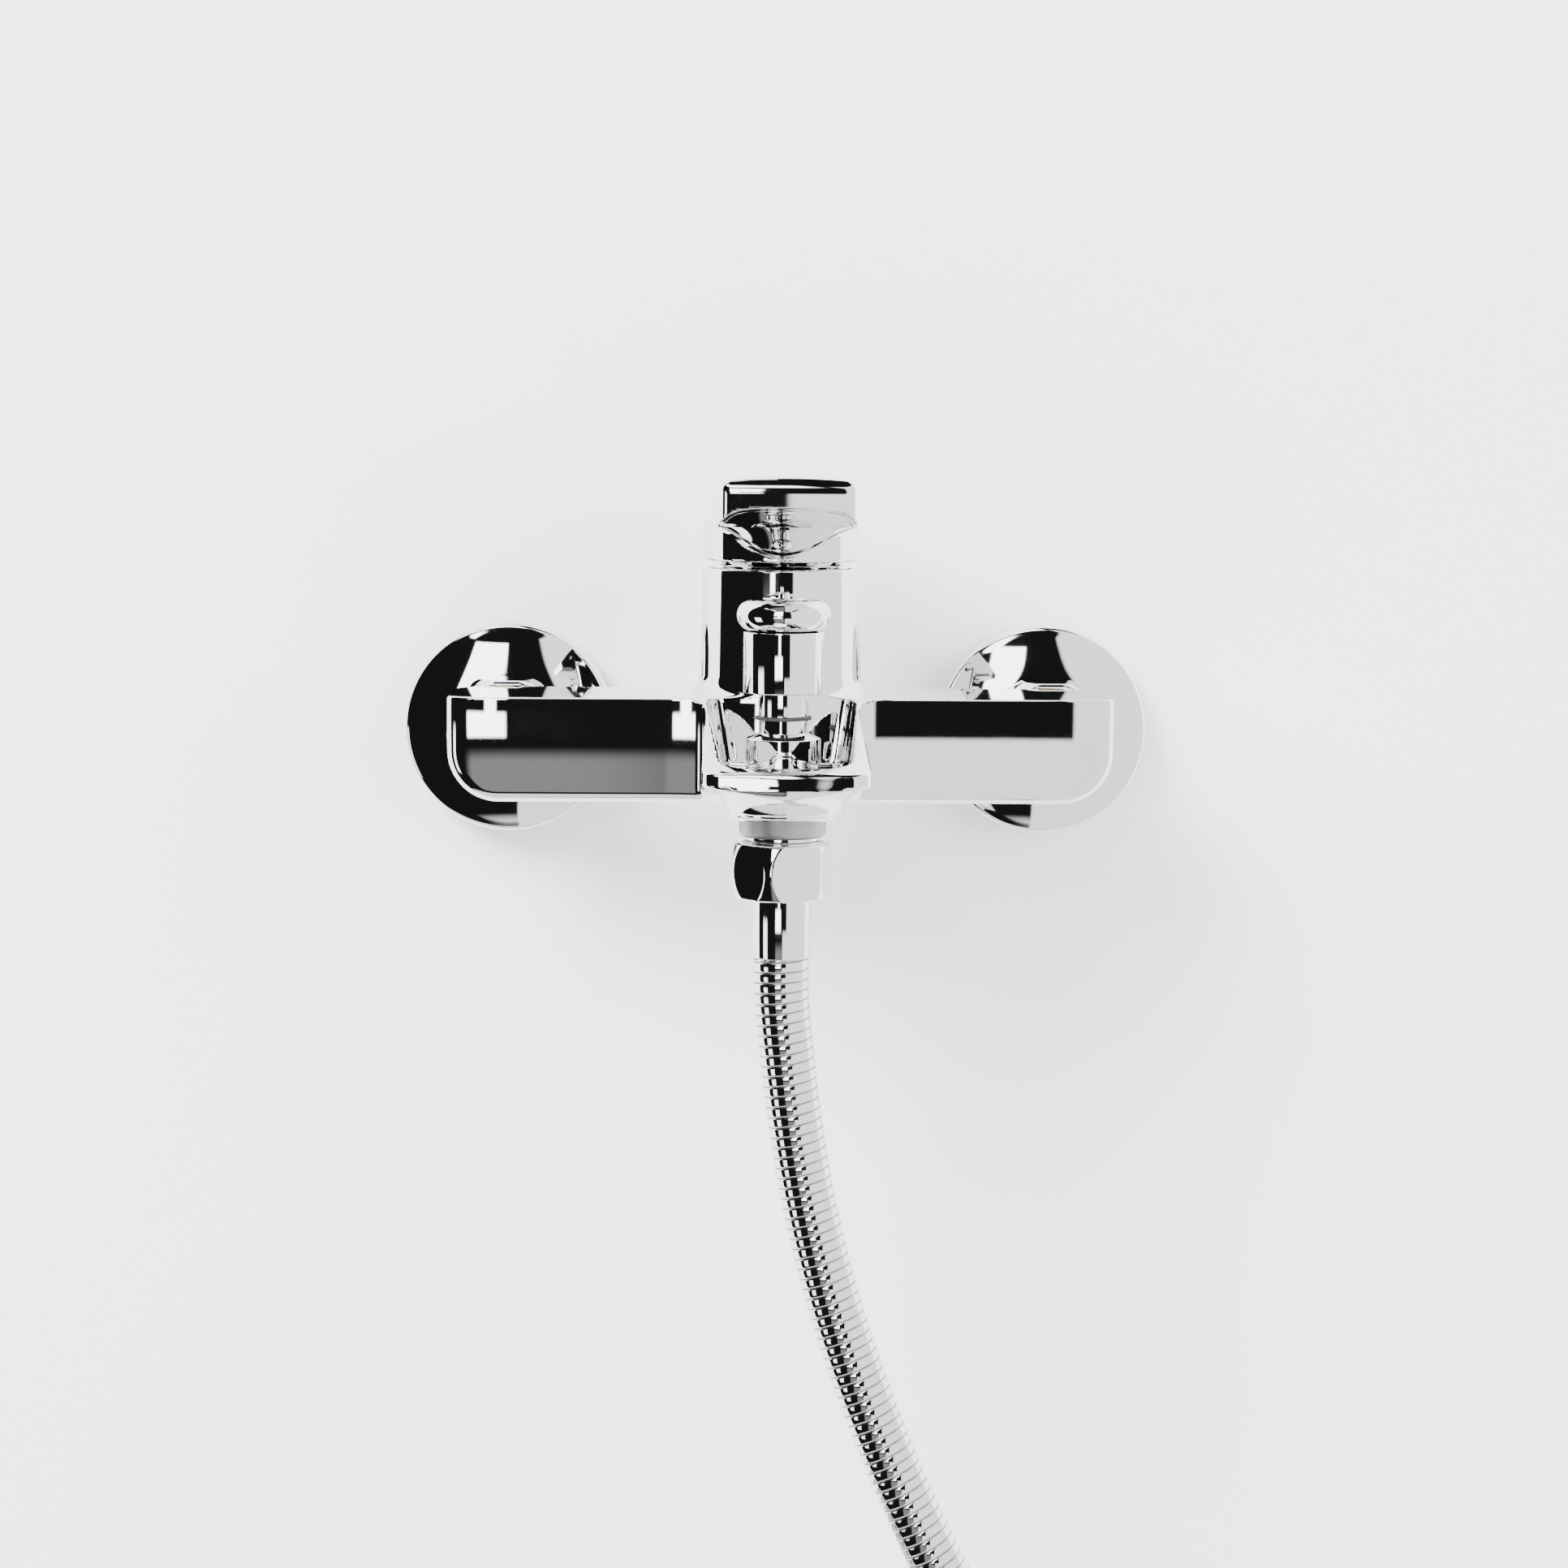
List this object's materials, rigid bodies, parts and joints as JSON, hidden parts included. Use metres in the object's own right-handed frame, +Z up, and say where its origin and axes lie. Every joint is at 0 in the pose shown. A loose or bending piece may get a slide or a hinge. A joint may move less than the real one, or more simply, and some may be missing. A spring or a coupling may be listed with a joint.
{
  "type": "wall mounted bath faucet",
  "caption": "Wall mounted single-lever bath faucet with a straight bar body, a tower for the cartridge, a scooped spout, a lift-up diverter and a metal shower hose kept in a tied coil.",
  "frame": {"origin": "on the wall's face, midway between the axes of the two inlets", "axes": "+X to the right as seen from the front, +Y into the wall, +Z up"},
  "size_m": [0.2088, 0.164, 0.488],
  "materials": {
    "chrome": "mirror-polished chrome plate",
    "hose_spiral": "polished spiral-wound metal strip",
    "satin_grey": "matte satin grey",
    "brass": "turned bare brass",
    "steel": "bright stainless",
    "black_rubber": "moulded rubber",
    "white_plastic": "moulded acetal",
    "ceramic": "lapped white ceramic",
    "grey_plastic": "moulded grey plastic"
  },
  "bodies": {
    "mixer": {"mixer_body": "chrome", "eccentric_union_left": "chrome", "eccentric_union_right": "chrome", "escutcheon_left": "chrome", "escutcheon_right": "chrome", "union_nut_left": "chrome", "union_nut_right": "chrome", "union_washer_left": "black_rubber", "union_washer_right": "black_rubber", "union_spigot_left": "brass", "union_spigot_right": "brass", "cartridge_housing": "white_plastic", "cartridge_base_seals": "black_rubber", "fixed_ceramic_disc": "ceramic", "cartridge_nut": "brass", "cartridge_cover": "chrome", "diverter_bonnet": "chrome", "bonnet_snap_ring": "black_rubber", "bonnet_oring": "black_rubber", "aerator_housing": "chrome", "aerator_insert": "grey_plastic", "aerator_seal": "black_rubber", "shower_outlet": "satin_grey", "hose_washer": "black_rubber", "hose_nut": "chrome", "hose_insert": "brass", "hose_ferrule": "chrome", "hose_tube": "hose_spiral", "hose_coil": "hose_spiral", "hose_tail": "hose_spiral", "coil_tie": "grey_plastic", "hose_end_ferrule": "chrome", "hose_end_insert": "brass", "hose_end_nut": "chrome"},
    "cartridge_rotor": {"stem_rotor": "white_plastic", "stem_pin": "steel"},
    "lever": {"lever_handle": "chrome", "handle_grub_screw": "steel", "screw_plug": "chrome", "cartridge_stem": "brass"},
    "ceramic_slide": {"moving_ceramic_disc": "ceramic", "disc_coupler": "white_plastic"},
    "diverter": {"diverter_knob": "chrome", "knob_cap_screw": "chrome", "diverter_sleeve": "chrome", "diverter_stem": "brass", "diverter_spool": "brass", "spool_washer": "black_rubber"}
  },
  "joints": [
    {"name": "lever_turn", "type": "hinge", "parent": "mixer", "child": "cartridge_rotor", "pos_m": [0, -0.058, 0.0495], "axis": [0, 0, 1], "range_deg": [-50, 50]},
    {"name": "lever_lift", "type": "hinge", "parent": "cartridge_rotor", "child": "lever", "pos_m": [0, -0.058, 0.0495], "axis": [-1, 0, 0], "range_deg": [0, 25]},
    {"name": "disc_slide", "type": "slide", "parent": "cartridge_rotor", "child": "ceramic_slide", "axis": [0, -1, 0], "range_m": [0, 0.006]},
    {"name": "diverter_lift", "type": "slide", "parent": "mixer", "child": "diverter", "axis": [0, 0, 1], "range_m": [-0.0104, 0]}
  ],
  "couplings": [
    {"joint": "disc_slide", "follows": "lever_lift", "m_per_rad": 0.0135}
  ]
}
